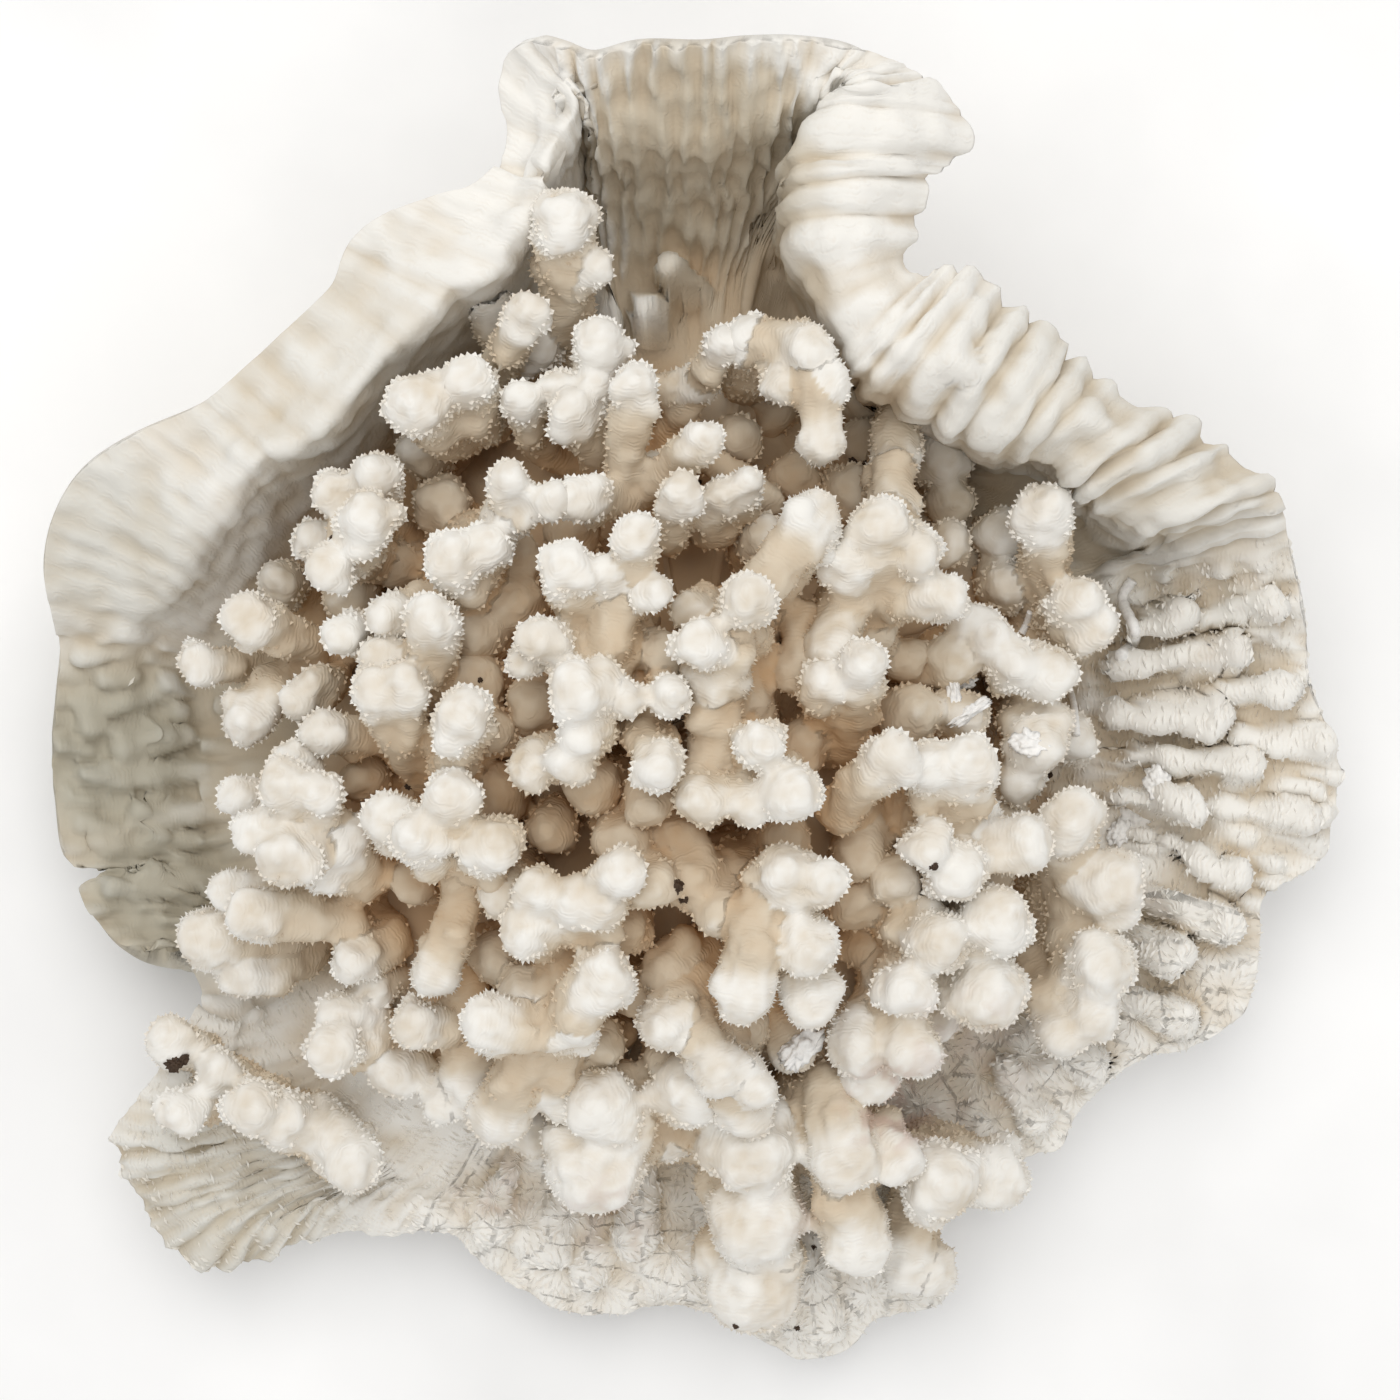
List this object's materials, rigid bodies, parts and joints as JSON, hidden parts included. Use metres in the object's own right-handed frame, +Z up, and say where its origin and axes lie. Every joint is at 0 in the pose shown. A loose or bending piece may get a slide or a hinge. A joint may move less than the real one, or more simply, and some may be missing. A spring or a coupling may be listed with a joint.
{
  "type": "coral skeleton",
  "caption": "Bleached plate coral skeleton with a flared and pleated rim, a back funnel wall and a dense dome of knobby finger branches, cut off flat underneath.",
  "frame": {"origin": "middle of the flat cut face that the colony rests on", "axes": "+Z up out of the cut face, +Y towards the back funnel wall, +X towards the rolled wall, which is the picture's right"},
  "size_m": [0.3098, 0.3078, 0.116],
  "materials": {
    "ivory_skeleton": "matt",
    "bleached_fingers": "matt"
  },
  "bodies": {
    "root": {"plate": "ivory_skeleton", "branch_crown": "bleached_fingers", "branch_back": "bleached_fingers", "branch_back_left": "bleached_fingers", "branch_back_right": "bleached_fingers", "branch_centre_right": "bleached_fingers", "branch_wall": "bleached_fingers", "branch_right": "bleached_fingers", "branch_right_middle": "bleached_fingers", "branch_right_front": "bleached_fingers", "branch_front_right": "bleached_fingers", "branch_front_middle": "bleached_fingers", "branch_front": "bleached_fingers", "front_edge_knobs": "bleached_fingers", "branch_front_left": "bleached_fingers", "branch_front_low": "bleached_fingers", "branch_left_lower": "bleached_fingers", "branch_left_middle": "bleached_fingers", "branch_left": "bleached_fingers", "branch_left_upper": "bleached_fingers", "wing_knobs": "bleached_fingers"}
  },
  "joints": []
}
